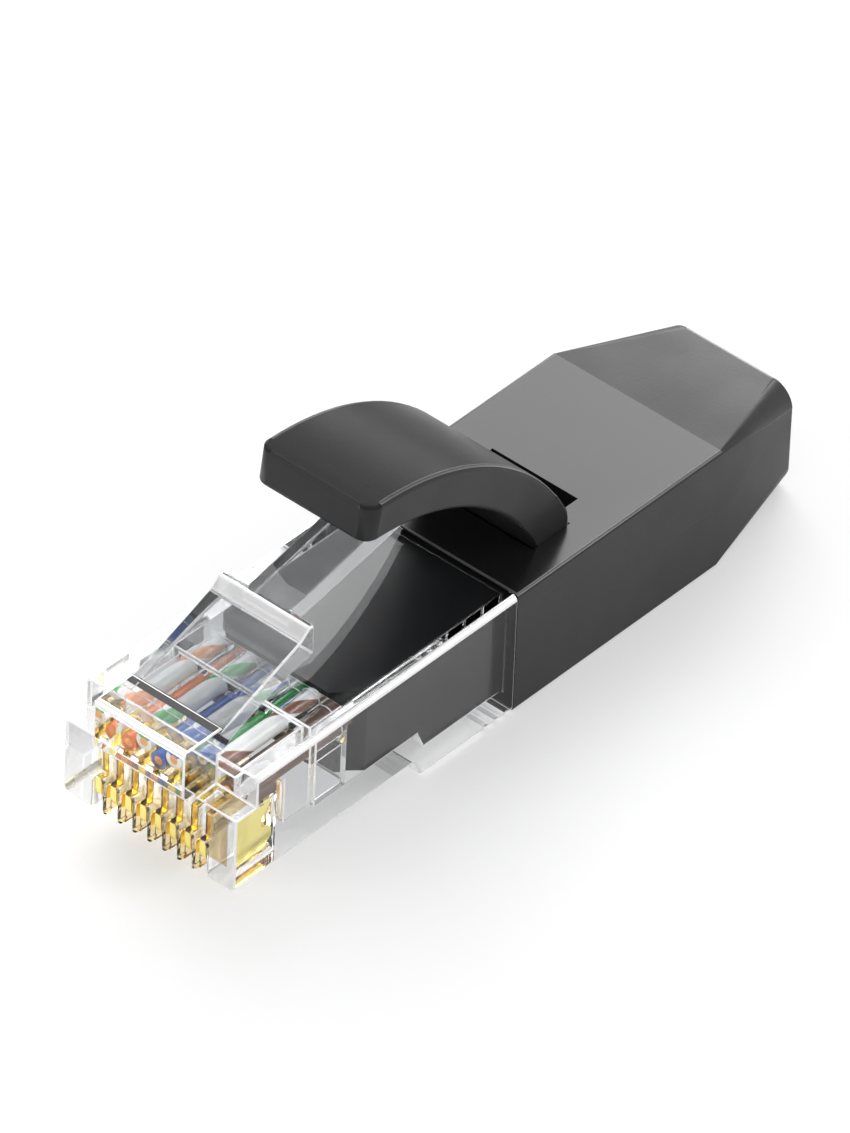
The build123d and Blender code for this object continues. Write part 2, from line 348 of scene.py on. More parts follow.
@dataclass(frozen=True)
class ClearFinish:
    """Polished clear polycarbonate, with a painted reflection of the gold blades in its colour
    where gold_reflection_paint is set.

    Attributes:
        name: the material's name.
        tint: colour of the plastic.
        gold_reflection_paint: strength of the painted gold reflection of the blades on the plastic
            round them, 0 to 1.
        gold: that colour where it is bright.
        bronze: that colour where it is dark.
        cloud: scale of the noise that shares out the two.
        cloud_band: the part of that noise over which one turns into the other.
        gold_side: where it ends on either side, lowest and highest x.
        gold_back: where it ends behind the blades, lowest and highest y.
        gold_top: where it ends above the blades, lowest and highest z.
        patch: colour of the painted reflection of the last blade, one large patch on the block
            beside it.
        patch_side: middle and half width of that reflection.
        patch_back: y of its end.
        patch_height: middle and half height of it.
        ior: index of refraction, low because the thin walls hardly bend what is behind them.
        skin: how strongly the polished skin mirrors.
        skin_ior: index of refraction of that skin, which mirrors as solid plastic does.
        skin_roughness: how far that skin blurs its mirror image.
        roughness: how far its polish blurs what is behind it.
        rubs: scale and amount of the rubs, and how much rougher they are.
        ripple: scale, strength and depth of the moulded skin's ripple.
        shade: share of a lamp's light that passes straight through, by colour.
    """

    name: str
    tint: Colour
    gold_reflection_paint: float = 0.0
    gold: Colour = (0.95, 0.76, 0.4, 1.0)
    bronze: Colour = (0.45, 0.33, 0.16, 1.0)
    cloud: float = 1500.0
    cloud_band: Pair = (0.46, 0.6)
    gold_side: Pair = (0.0035, 0.0037)
    gold_back: Pair = (-0.0184, -0.0178)
    gold_top: Pair = (0.0046, 0.0066)
    patch: Colour = (0.43, 0.27, 0.09, 1.0)
    patch_side: Pair = (0.00455, 0.00075)
    patch_back: float = -0.0205
    patch_height: Pair = (0.004275, 0.001675)
    ior: float = 1.15
    skin: float = 0.35
    skin_ior: float = 1.55
    skin_roughness: float = 0.02
    roughness: float = 0.01
    rubs: Point = (300.0, 0.6, 0.05)
    ripple: Point = (900.0, 0.03, 0.00001)
    shade: Colour = (0.96, 0.965, 0.965, 1.0)

    def build(self, groups: Groups) -> Material:
        """Builds the material.

        Args:
            groups: the shared node groups.

        Returns:
            The new material.
        """
        material, write = new_material(self.name)
        scale, amount, more = self.rubs
        marks = write.add("Group", node_tree=groups.handling, Scale=scale, Amount=amount)
        roughest = self.roughness + more
        rough = write.ramp(marks.outputs["Rub"], 0.0, 1.0, self.roughness, roughest)
        scale, strength, depth = self.ripple
        grain = write.add("Group", node_tree=groups.grain, Scale=scale)
        height = write.maths("SUBTRACT", grain.outputs["Height"], marks.outputs["Scratch"])
        bump = write.add("Bump", {"Height": height}, Strength=strength, Distance=depth)
        links = {"Roughness": rough, "Normal": bump.outputs["Normal"]}
        if self.gold_reflection_paint:
            links["Base Color"] = self._painted_reflection_colour(write)
        glass = write.add(
            "BsdfPrincipled",
            links,
            Base_Color=self.tint,
            IOR=self.ior,
            Transmission_Weight=1.0,
            Coat_Weight=self.skin,
            Coat_IOR=self.skin_ior,
            Coat_Roughness=self.skin_roughness,
        )
        write.end(glass.outputs[0], self.shade)
        return material

    def _painted_reflection_colour(self, write: Nodes) -> Socket:
        """Writes the plastic's colour with a painted reflection of the blades, gold round them and
        a brown patch for the last blade on the block beside it.

        Args:
            write: the material's node writer.

        Returns:
            The colour's socket.
        """
        place = write.add("TexCoord")
        axes = write.add("SeparateXYZ", {"Vector": place.outputs["Object"]})
        side = write.maths("ABSOLUTE", axes.outputs["X"])
        across = write.ramp(side, *self.gold_side, self.gold_reflection_paint, 0.0)
        along = write.ramp(axes.outputs["Y"], *self.gold_back, 1.0, 0.0)
        upward = write.ramp(axes.outputs["Z"], *self.gold_top, 1.0, 0.0)
        near = write.maths("MULTIPLY", across, write.maths("MULTIPLY", along, upward))
        point = {"Vector": place.outputs["Object"]}
        cloud = write.add("TexNoise", point, Scale=self.cloud, Detail=2.0)
        dark = write.ramp(cloud.outputs["Fac"], *self.cloud_band)
        colour = write.blend(near, self.tint, write.blend(dark, self.gold, self.bronze))
        beside = write.maths("COMPARE", axes.outputs["X"], *self.patch_side)
        ahead = write.maths("LESS_THAN", axes.outputs["Y"], self.patch_back)
        level = write.maths("COMPARE", axes.outputs["Z"], *self.patch_height)
        spot = write.maths("MULTIPLY", beside, write.maths("MULTIPLY", ahead, level))
        return write.blend(spot, colour, self.patch)


@dataclass(frozen=True)
class PaintedHighlightFinish:
    """The edges of the clear moulding, nearly opaque white: a painted highlight for the bright
    lines that light draws along the edges of clear plastic.

    Attributes:
        name: the material's name.
        tint: colour of the edge.
        clearness: share of the light that still passes through.
        shine: how much it mirrors its surroundings, as inner reflection at an edge does.
        roughness: how far it scatters that light.
        uneven: how much that differs from place to place.
        ior: index of refraction.
        shade: share of a lamp's light that passes straight through, by colour.
    """

    name: str = "clear_painted_highlight"
    tint: Colour = WHITE
    clearness: float = 0.1
    shine: float = 0.5
    roughness: float = 0.3
    uneven: float = 0.1
    ior: float = 1.58
    shade: Colour = (0.93, 0.935, 0.935, 1.0)

    def build(self, groups: Groups) -> Material:
        """Builds the material.

        Args:
            groups: the shared node groups.

        Returns:
            The new material.
        """
        material, write = new_material(self.name)
        grain = write.add("Group", node_tree=groups.grain)
        finest, coarsest = self.roughness - self.uneven, self.roughness + self.uneven
        rough = write.ramp(grain.outputs["Patch"], *PATCH_BAND, finest, coarsest)
        rim = write.add(
            "BsdfPrincipled",
            {"Roughness": rough},
            Base_Color=self.tint,
            IOR=self.ior,
            Transmission_Weight=self.clearness,
            Metallic=self.shine,
        )
        write.end(rim.outputs[0], self.shade)
        return material


@dataclass(frozen=True)
class MouldedFinish:
    """Opaque moulded plastic with a fine grain.

    Attributes:
        name: the material's name.
        colour: its colour.
        rubbed: its colour where handling has polished it.
        roughness: lowest and highest roughness over the surface.
        grain_depth: depth of the grain, in metres.
        rub: how much handling shows.
        gloss: how strongly it mirrors, 0.5 being usual for plastic.
        relief: strength of the grain.
    """

    name: str
    colour: Colour
    rubbed: Colour
    roughness: Pair
    grain_depth: float = 0.000012
    rub: float = 0.5
    gloss: float = 0.5
    relief: float = 0.5

    def build(self, groups: Groups) -> Material:
        """Builds the material.

        Args:
            groups: the shared node groups.

        Returns:
            The new material.
        """
        material, write = new_material(self.name)
        grain = write.add("Group", node_tree=groups.grain)
        marks = write.add("Group", node_tree=groups.handling, Amount=self.rub)
        colour = write.blend(marks.outputs["Rub"], self.colour, self.rubbed)
        rough = write.ramp(grain.outputs["Patch"], *PATCH_BAND, *self.roughness)
        height = write.maths("SUBTRACT", grain.outputs["Height"], marks.outputs["Scratch"])
        depth = {"Strength": self.relief, "Distance": self.grain_depth}
        bump = write.add("Bump", {"Height": height}, **depth)
        skin = write.add(
            "BsdfPrincipled",
            {"Base Color": colour, "Roughness": rough, "Normal": bump.outputs["Normal"]},
            Specular_IOR_Level=self.gloss,
        )
        write.end(skin.outputs[0])
        return material


@dataclass(frozen=True)
class GoldFinish:
    """Hard gold plating on stamped blades.

    Attributes:
        name: the material's name.
        colour: bright gold.
        worn: deeper gold where the plating is thin.
        roughness: lowest and highest roughness.
        scales: scale of the metal's grain and of the worn places.
        relief: strength of the grain, and its depth in metres.
    """

    name: str = "gold_plating"
    colour: Colour = (1.0, 0.92, 0.35, 1.0)
    worn: Colour = (1.0, 0.83, 0.22, 1.0)
    roughness: Pair = (0.12, 0.26)
    scales: Pair = (3000.0, 900.0)
    relief: Pair = (0.2, 0.00001)

    def build(self, groups: Groups) -> Material:
        """Builds the material.

        Args:
            groups: the shared node groups.

        Returns:
            The new material.
        """
        material, write = new_material(self.name)
        fine, slow = self.scales
        grain = write.add("Group", node_tree=groups.grain, Scale=fine, Patch_Scale=slow)
        colour = write.blend(grain.outputs["Patch"], self.colour, self.worn)
        rough = write.ramp(grain.outputs["Patch"], *PATCH_BAND, *self.roughness)
        strength, depth = self.relief
        height = {"Height": grain.outputs["Height"]}
        bump = write.add("Bump", height, Strength=strength, Distance=depth)
        skin = write.add(
            "BsdfPrincipled",
            {"Base Color": colour, "Roughness": rough, "Normal": bump.outputs["Normal"]},
            Metallic=1.0,
        )
        write.end(skin.outputs[0])
        return material


@dataclass(frozen=True)
class InsulationFinish:
    """Coloured insulation of one wire, plain or pale with a coloured stripe, round a copper core.

    Attributes:
        name: the material's name.
        colour: the wire's own colour.
        striped: True for a pale wire that only carries a stripe of that colour.
        centre: the wire's axis (x, z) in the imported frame, in metres.
        front: y of the wire's cut end, in metres.
        pale: the ground colour of a striped wire.
        copper: colour of the bare core at the cut end.
        core: radius of that core, in metres.
        twist: turns of the stripe along the wire, in radians for each metre.
        stripe_band: the part of the stripe's wave over which it fades in.
        rub_scale: scale of the rubs.
        lighter: how a rub lightens the colour, as a factor and a sum.
        roughness: roughness where it is whole and where it is rubbed.
    """

    name: str
    colour: Colour
    striped: bool
    centre: Pair
    front: float
    pale: Colour = (0.86, 0.87, 0.86, 1.0)
    copper: Colour = (0.93, 0.5, 0.26, 1.0)
    core: float = 0.00026
    twist: float = 1150.0
    stripe_band: Pair = (0.55, 0.7)
    rub_scale: float = 900.0
    lighter: Pair = (1.35, 0.02)
    roughness: Pair = (0.28, 0.45)

    def build(self, groups: Groups) -> Material:
        """Builds the material.

        Args:
            groups: the shared node groups.

        Returns:
            The new material.
        """
        material, write = new_material(self.name)
        marks = write.add("Group", node_tree=groups.handling, Scale=self.rub_scale)
        rough = write.ramp(marks.outputs["Rub"], 0.0, 1.0, *self.roughness)
        factor, more = self.lighter
        rubbed = tuple(min(1.0, factor * part + more) for part in self.colour[:3]) + (1.0,)
        base = write.blend(marks.outputs["Rub"], self.colour, rubbed)
        place = write.add("TexCoord")
        shift = (-self.centre[0], -self.front, -self.centre[1])
        centred = write.add("Mapping", {"Vector": place.outputs["Object"]}, Location=shift)
        axes = write.add("SeparateXYZ", {"Vector": centred.outputs["Vector"]})
        if self.striped:
            angle = write.maths("ARCTAN2", axes.outputs["Z"], axes.outputs["X"])
            wave = write.maths("MULTIPLY_ADD", axes.outputs["Y"], self.twist, angle)
            stripe = write.ramp(write.maths("SINE", wave), *self.stripe_band)
            base = write.blend(stripe, self.pale, base)
        flat = write.add("CombineXYZ", {"X": axes.outputs["X"], "Z": axes.outputs["Z"]})
        away = write.add("VectorMath", {0: flat.outputs["Vector"]}, operation="LENGTH")
        inside = write.maths("LESS_THAN", away.outputs["Value"], self.core)
        ahead = write.maths("LESS_THAN", axes.outputs["Y"], self.core)
        bare = write.maths("MULTIPLY", inside, ahead)
        base = write.blend(bare, base, self.copper)
        skin = write.add(
            "BsdfPrincipled", {"Base Color": base, "Roughness": rough, "Metallic": bare}
        )
        write.end(skin.outputs[0])
        return material


class Shape:
    """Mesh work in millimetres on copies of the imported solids."""

    def __init__(self, drawing: Drawing) -> None:
        """Keeps the drawing.

        Args:
            drawing: the plug's drawing.
        """
        self.drawing = drawing

    def copy(self, node: Object) -> Mesh:
        """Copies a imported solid, welds its loose triangles and scales it to millimetres.

        Args:
            node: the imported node's object.

        Returns:
            The closed copy.
        """
        work = bmesh.new()
        work.from_mesh(node.data)
        bmesh.ops.scale(work, vec=(1 / MM,) * 3, verts=work.verts)
        bmesh.ops.remove_doubles(work, verts=work.verts, dist=WELD_MM)
        return work

    def cross_rod(
        self, radius: float, y: float, z: float, width: float, top: float | None = None
    ) -> Mesh:
        """Makes a round bar across the plug.

        Args:
            radius: its radius.
            y: place along the drawing.
            z: height.
            width: its length across the plug.
            top: height that it is cut off at, None for a whole bar.

        Returns:
            The closed bar.
        """
        work = bmesh.new()
        turn = Matrix.Rotation(math.radians(90), 4, "Y")
        move = Matrix.Translation((0, y - self.drawing.middle_y, z))
        radii = {"radius1": radius, "radius2": radius}
        bmesh.ops.create_cone(
            work, cap_ends=True, segments=ROD_FACETS, depth=width, matrix=move @ turn, **radii
        )
        if top is not None:
            bmesh.ops.bisect_plane(
                work,
                geom=[*work.verts, *work.edges, *work.faces],
                plane_co=(0, 0, top),
                plane_no=(0, 0, 1),
                clear_outer=True,
            )
            bmesh.ops.holes_fill(work, edges=work.edges)
        return work

    def union(self, first: Mesh, *others: Mesh) -> Mesh:
        """Joins closed meshes into one.

        Args:
            first: the mesh that the others are joined to.
            others: the meshes to join, which are freed.

        Returns:
            The joined mesh.
        """
        holder = show(first, "passing")
        for other in others:
            tool = show(other, "passing")
            step = holder.modifiers.new("join", "BOOLEAN")
            step.operation = "UNION"
            step.solver = "EXACT"
            step.object = tool
            graph = bpy.context.evaluated_depsgraph_get()
            joined = bpy.data.meshes.new_from_object(holder.evaluated_get(graph))
            holder.modifiers.clear()
            old = holder.data
            holder.data = joined
            bpy.data.meshes.remove(old)
            self._drop(tool)
        work = bmesh.new()
        work.from_mesh(holder.data)
        self._drop(holder)
        bmesh.ops.remove_doubles(work, verts=work.verts, dist=WELD_MM)
        return work

    def _drop(self, holder: Object) -> None:
        """Removes a passing object and its mesh."""
        spent = holder.data
        bpy.data.objects.remove(holder)
        bpy.data.meshes.remove(spent)

    def flatten(self, work: Mesh) -> None:
        """Merges the triangles of each flat face into one face."""
        bmesh.ops.dissolve_limit(
            work, angle_limit=math.radians(FLAT_DEG), verts=work.verts, edges=work.edges
        )

    def round_edges(
        self, work: Mesh, radius: float, least: float, slot: int = 0, near: Pair | None = None
    ) -> list[Face]:
        """Rounds the sharp edges.

        Args:
            work: the closed mesh, its flat faces merged.
            radius: the rounding's width.
            least: edges shorter than this stay as they are.
            slot: number of the material that the roundings get.
            near: a place (y, z) of the drawing whose neighbourhood stays as it is.

        Returns:
            The faces of the roundings.
        """
        least_turn = math.radians(SHARP_DEG)
        sharp = [edge for edge in work.edges if edge.is_manifold]
        sharp = [edge for edge in sharp if edge.calc_face_angle(0.0) > least_turn]
        sharp = [edge for edge in sharp if edge.calc_length() >= least]
        if near is not None:
            spot = Vector((0.0, near[0] - self.drawing.middle_y, near[1]))
            sharp = [edge for edge in sharp if self._way_to(edge, spot) > ROOT_MM]
        made = bmesh.ops.bevel(
            work,
            geom=sharp,
            offset=radius,
            offset_type="OFFSET",
            segments=ROUND_SEGMENTS,
            profile=ROUND_PROFILE,
            affect="EDGES",
            clamp_overlap=False,
            material=-1,
        )
        for face in made["faces"]:
            face.material_index = slot or face.material_index
        return made["faces"]

    def _way_to(self, edge: bmesh.types.BMEdge, spot: Vector) -> float:
        """Gives how far an edge's nearer end lies from a line across the plug."""
        return min(((end.co - spot) * Vector((0, 1, 1))).length for end in edge.verts)

    def finish(self, work: Mesh, name: str, *materials: Material) -> Object:
        """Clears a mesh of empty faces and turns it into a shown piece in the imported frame.

        Args:
            work: the mesh in millimetres, which is freed.
            name: the piece's name.
            materials: its finishes, by slot.

        Returns:
            The new object, at the origin, unturned and unscaled.
        """
        bmesh.ops.remove_doubles(work, verts=work.verts, dist=WELD_MM)
        bmesh.ops.dissolve_degenerate(work, edges=work.edges, dist=WELD_MM)
        bmesh.ops.scale(work, vec=(MM,) * 3, verts=work.verts)
        piece = show(work, name)
        mesh = piece.data
        for material in materials:
            mesh.materials.append(material)
        mesh.shade_smooth()
        mesh.set_sharp_from_angle(angle=math.radians(SHARP_DEG))
        even = piece.modifiers.new("even_shading", "WEIGHTED_NORMAL")
        even.keep_sharp = True
        return piece


class Part(Enum):
    """The parts of the clear moulding that have a finish of their own, by material slot."""

    WALLS = 0
    RIM = 1
    LATCH = 2
    COMB = 3
    RAMP = 4
    CHEEK = 5


CLEAR_FINISHES = (
    # The clear walls carry a painted gold reflection of the blades round them.
    ClearFinish("clear_polycarbonate", (0.955, 0.96, 0.965, 1.0), gold_reflection_paint=0.95),
    # Painted highlight: the roundings and chamfers of the clear moulding are made nearly opaque
    # white.
    PaintedHighlightFinish(),
    # Painted shade: the latch, one moulding with the clear body, is tinted grey, standing in for
    # the dark boot and shade seen through it.
    ClearFinish("polycarbonate_painted_shade", (0.47, 0.48, 0.49, 1.0)),
    # Painted reflection: the comb's walls between the blades are tinted amber, standing in for the
    # gold blades reflected in them.
    ClearFinish("polycarbonate_painted_gold_reflection", (0.97, 0.8, 0.46, 1.0)),
    # Painted reflection: the latch's ramp face is made nearly white, standing in for a lamp's
    # reflection on it.
    PaintedHighlightFinish("ramp_painted_reflection", clearness=0.35, shine=0.15),
    ClearFinish("clear_cheek", (0.995, 0.995, 0.99, 1.0), ior=1.5, skin=0.0),
)


@dataclass
class ClearShell:
    """The clear moulding, in one piece from nose to latch, with the guide bar in its wire bay.

    Attributes:
        comb_front: y of the slots' open ends.
        facing: how far a slot's wall turns to an axis.
        steep: the same for the ramp.
        chamfer_level: how level a chamfer's edge lies.
        chamfer_even: how evenly it turns to its neighbours.
        bend_from: y and z of the latch's hinge; the place is worked out but not used.
        bend_by: how far behind and above the hinge the latch would move in full; not used.
        edge_least: edges shorter than this stay sharp.
    """

    drawing: Drawing
    shape: Shape
    finishes: list[Material]
    comb_half: float = 3.45
    comb_front: float = 0.5
    comb_back: float = 3.95
    comb_top: float = 4.9
    latch_from: float = 0.3
    ramp_from: float = 3.7
    cheek_until: float = 3.0
    cheek_out: float = 5.8
    pocket_from: float = 12.0
    pocket_half: float = 5.5
    facing: float = 0.3
    steep: float = 0.5
    chamfer_level: float = 0.05
    chamfer_even: float = 0.02
    root: Pair = (2.0, 8.55)
    root_radius: float = 0.66
    root_width: float = 6.14
    bend_from: Pair = (3.0, 9.2)
    bend_by: Pair = (0.05, 1.1)
    edge: float = 0.1
    edge_least: float = 0.3
    guide_edge: float = 0.05

    def build(self, nodes: dict[str, Object]) -> list[Object]:
        """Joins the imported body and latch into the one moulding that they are.

        Args:
            nodes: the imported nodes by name.

        Returns:
            The pieces made or dressed.
        """
        body = self.shape.copy(nodes["plug_body"])
        latch = self.shape.copy(nodes["latch_tab"])
        neck = self.shape.cross_rod(self.root_radius, *self.root, self.root_width)
        work = self.shape.union(body, latch, neck)
        self.shape.flatten(work)
        bmesh.ops.bisect_plane(
            work,
            geom=[*work.verts, *work.edges, *work.faces],
            plane_co=(0.0, self.cheek_until - self.drawing.middle_y, 0.0),
            plane_no=(0, 1, 0),
        )
        self._choose_finishes(work)
        # The roundings get the painted edge highlight, except among the blades and in the rear
        # cavity.
        rounded = self.shape.round_edges(work, self.edge, self.edge_least, slot=Part.RIM.value)
        for face in rounded:
            middle = face.calc_center_median()
            if self._in_comb(middle):
                face.material_index = Part.COMB.value
            elif self._in_pocket(middle):
                face.material_index = Part.WALLS.value
        shell = self.shape.finish(work, "clear_shell", *self.finishes)
        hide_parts("plug_body", "latch_tab")
        start = self.drawing.at(0, *self.bend_from)
        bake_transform(shell)
        dress(nodes["wire_guide"], *self.finishes[:2])
        # The guide bar's roundings get the painted edge highlight too.
        soften(nodes["wire_guide"], self.guide_edge, material=Part.RIM.value)
        return [shell, nodes["wire_guide"]]

    def _in_comb(self, place: Vector) -> bool:
        """Says whether a place lies among the walls between the blades."""
        deep = place.y + self.drawing.middle_y < self.comb_back
        return deep and place.z < self.comb_top and abs(place.x) < self.comb_half

    def _ends_slot(self, face: Face) -> bool:
        """Says whether a face of the comb is the end wall of a blade's slot."""
        deep = face.calc_center_median().y + self.drawing.middle_y > self.comb_front
        return deep and face.normal.y < -self.facing

    def _in_pocket(self, place: Vector) -> bool:
        """Says whether a place lies inside the rear cavity, whose edges hardly show."""
        behind = place.y + self.drawing.middle_y > self.pocket_from
        return behind and abs(place.x) < self.pocket_half

    def _in_cheek(self, place: Vector) -> bool:
        """Says whether a place lies on one of the nose's two side faces."""
        ahead = place.y + self.drawing.middle_y < self.cheek_until
        return ahead and abs(place.x) > self.cheek_out

    def _is_chamfer(self, face: Face) -> bool:
        """Says whether a face slopes evenly between two of the moulding's flat sides."""
        turn = sorted(abs(number) for number in face.normal)
        return turn[0] < self.chamfer_level and abs(turn[1] - turn[2]) < self.chamfer_even

    def _choose_finishes(self, work: Mesh) -> None:
        """Gives chamfers, latch, ramp, comb and the nose's side faces a finish of their own: a
        painted highlight on the chamfers, painted shade on the latch, a painted reflection on the
        ramp and a painted gold reflection on the comb's walls.

        Args:
            work: the joined mesh in millimetres, its flat faces merged.
        """
        work.normal_update()
        for face in work.faces:
            middle = face.calc_center_median()
            height = middle.z - self.drawing.deck
            walls_slot = abs(face.normal.x) > self.facing or self._ends_slot(face)
            if height > self.ramp_from and face.normal.y < -self.steep:
                face.material_index = Part.RAMP.value
            elif self._is_chamfer(face):
                face.material_index = Part.RIM.value
            elif height > self.latch_from:
                face.material_index = Part.LATCH.value
            elif self._in_cheek(middle):
                face.material_index = Part.CHEEK.value
            elif self._in_comb(middle) and walls_slot:
                face.material_index = Part.COMB.value


class Moulding(Enum):
    """The parts of the black moulding that have a finish of their own, by material slot."""

    SLEEVE = 0
    DECK = 1
    LEVER = 2
    EDGE = 3


BLACK_FINISHES = (
    MouldedFinish(
        "boot_satin", grey(0.019, 0.02), grey(0.025, 0.027), (0.34, 0.42), rub=0.3, gloss=0.3
    ),
    MouldedFinish("boot_polished", grey(0.01, 0.011), grey(0.014, 0.015), (0.2, 0.26), 0.000004),
    # Painted light: the lever's upward faces get their own lighter, nearly glossless copy of the
    # boot's black, set so that they read right under these lamps.
    MouldedFinish(
        "lever_painted_tone", grey(0.034, 0.036), grey(0.041, 0.043), (0.27, 0.32), rub=0.2, gloss=0.025
    ),
    # Painted highlight: the upper roundings beside the deck and along the lever's rims are made
    # light grey, standing in for the lamps' reflection on them; the handling marks in it are real
    # wear.
    MouldedFinish("edge_painted_highlight_and_wear", grey(0.11, 0.115), grey(0.16, 0.165), (0.26, 0.32), 0.000004),
)
CORE_FINISH = MouldedFinish(
    "core_plastic", grey(0.006, 0.007), grey(0.01, 0.011), (0.4, 0.5), 0.000001, gloss=0.3
)


@dataclass
class BootMoulding:
    """The black boot and its arched press lever in one piece, and the core in the clear shell.

    Attributes:
        root_cover: how far it stays below the deck.
        edge_least: edges shorter than this stay sharp.
        edge_rise: how far a rounding beside the deck turns upward to get the painted highlight.
        edge_along: how far it may turn forward or back.
        flat: how far a level face turns upward.
        lever_rise: how far the lever's back turns upward.
        rim_turn: how far the roundings along its rims turn sideways.
        bend_rise: height over which the lever's root bends.
    """

    drawing: Drawing
    shape: Shape
    finishes: list[Material]
    core: Material
    root: Pair = (26.295, 8.1)
    root_radius: float = 1.41
    root_width: float = 7.9
    root_cover: float = 0.02
    edge: float = 0.14
    edge_least: float = 0.5
    edge_rise: float = 0.7
    edge_along: float = 0.01
    flat: float = 0.999
    lever_rise: float = 0.3
    rim_turn: Pair = (0.25, 0.75)
    bend_rise: float = 2.6

    def build(self, nodes: dict[str, Object]) -> list[Object]:
        """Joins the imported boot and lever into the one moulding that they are.

        Args:
            nodes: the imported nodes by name.

        Returns:
            The pieces made or dressed.
        """
        boot = self.shape.copy(nodes["boot"])
        lever = self.shape.copy(nodes["press_lever"])
        cover = self.drawing.deck - self.root_cover
        neck = self.shape.cross_rod(self.root_radius, *self.root, self.root_width, cover)
        work = self.shape.union(boot, lever, neck)
        self.shape.flatten(work)
        self._choose_finishes(work)
        rounded = self.shape.round_edges(work, self.edge, self.edge_least, near=self.root)
        # The upper roundings get the painted highlight, the others the plain sleeve.
        for face in rounded:
            kind = Moulding.EDGE if self._gets_painted_highlight(face) else Moulding.SLEEVE
            face.material_index = kind.value
        moulding = self.shape.finish(work, "boot_moulding", *self.finishes)
        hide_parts("boot", "press_lever")
        start = self.drawing.at(0, self.root[0], self.drawing.deck)
        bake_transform(moulding)
        dress(nodes["inner_mould"], self.core)
        soften(nodes["inner_mould"], self.edge)
        return [moulding, nodes["inner_mould"]]

    def _choose_finishes(self, work: Mesh) -> None:
        """Gives the deck its own finish, the rounded corners beside it a painted highlight and the
        lever's back a painted tone of its own.

        Args:
            work: the joined mesh in millimetres, its flat faces merged.
        """
        work.normal_update()
        for face in work.faces:
            rise = face.normal.z
            height = face.calc_center_median().z - self.drawing.deck
            beside = abs(face.normal.y) < self.edge_along and abs(height) < self.edge
            if rise > self.flat and abs(height) < self.root_cover:
                face.material_index = Moulding.DECK.value
            elif self.edge_rise < rise < self.flat and beside:
                face.material_index = Moulding.EDGE.value
            elif height > self.root_cover and rise > self.lever_rise:
                face.material_index = Moulding.LEVER.value

    def _gets_painted_highlight(self, face: Face) -> bool:
        """Says whether a rounding gets the painted highlight, round the deck or along the lever's
        rims.

        Args:
            face: a face of the rounding.

        Returns:
            True where the highlight is painted.
        """
        if face.calc_center_median().z < self.drawing.deck + self.edge:
            return face.normal.z > self.edge_rise
        low, high = self.rim_turn
        return low < abs(face.normal.x) < high and face.normal.z > self.lever_rise


@dataclass
class BladeRow:
    """The eight gold-plated blades."""

    drawing: Drawing
    finish: Material
    edge: float = 0.04

    def build(self, nodes: dict[str, Object]) -> list[Object]:
        """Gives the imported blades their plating.

        Args:
            nodes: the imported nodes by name.

        Returns:
            The blades.
        """
        blades = [nodes[f"contact_{index + 1}"] for index in range(self.drawing.pins)]
        for blade in blades:
            dress(blade, self.finish)
            soften(blade, self.edge)
        return blades


class WireColour(Enum):
    """The eight wires from pin 1 on: name, colour, and True where only a stripe has it."""

    WHITE_ORANGE = ("white_orange", (0.85, 0.28, 0.06, 1.0), True)
    ORANGE = ("orange", (0.82, 0.2, 0.04, 1.0), False)
    WHITE_GREEN = ("white_green", (0.05, 0.42, 0.1, 1.0), True)
    BLUE = ("blue", (0.03, 0.12, 0.5, 1.0), False)
    WHITE_BLUE = ("white_blue", (0.05, 0.16, 0.55, 1.0), True)
    GREEN = ("green", (0.03, 0.32, 0.07, 1.0), False)
    WHITE_BROWN = ("white_brown", (0.24, 0.1, 0.055, 1.0), True)
    BROWN = ("brown", (0.11, 0.055, 0.036, 1.0), False)


@dataclass
class WireSet:
    """The eight wires on their two levels, cut off at the place front."""

    drawing: Drawing
    groups: Groups
    front: float = 2.0

    def build(self, nodes: dict[str, Object]) -> list[Object]:
        """Gives each packed wire its insulation.

        Args:
            nodes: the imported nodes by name.

        Returns:
            The wires.
        """
        wires = []
        for index, colour in enumerate(WireColour):
            name, tone, striped = colour.value
            across, height = self.drawing.pin_x(index), self.drawing.pin_level(index).value
            finish = InsulationFinish(
                f"insulation_{name}",
                tone,
                striped,
                centre=(across * MM, height * MM),
                front=self.drawing.at(0, self.front, 0).y,
            )
            wire = nodes[f"wire_{index + 1}"]
            dress(wire, finish.build(self.groups))
            wires.append(wire)
        return wires


@dataclass(frozen=True)
class Softbox:
    """A soft square lamp that points at the plug.

    Attributes:
        name: the lamp's name.
        place: where it hangs, in metres.
        size: its side, in metres.
        power: its power in watts.
    """

    name: str
    place: Point
    size: float
    power: float

    def hang(self) -> None:
        """Hangs the lamp in the scene."""
        data = bpy.data.lights.new(self.name, "AREA")
        data.size = self.size
        data.energy = self.power
        lamp = bpy.data.objects.new(self.name, data)
        lamp.location = self.place
        lamp.rotation_euler = (-Vector(self.place)).to_track_quat("-Z", "Y").to_euler()
        bpy.context.scene.collection.objects.link(lamp)


SOFTBOXES = (
    Softbox("back_softbox", (-0.59, 0.7, 0.77), 0.9, 8.0),
    Softbox("low_softbox", (-0.62, 1.03, 0.3), 0.35, 1.9),
    Softbox("front_softbox", (-0.75, -0.95, 0.6), 0.6, 3.4),
    Softbox("edge_softbox", (0.8, 0.75, 0.61), 0.3, 2.6),
)


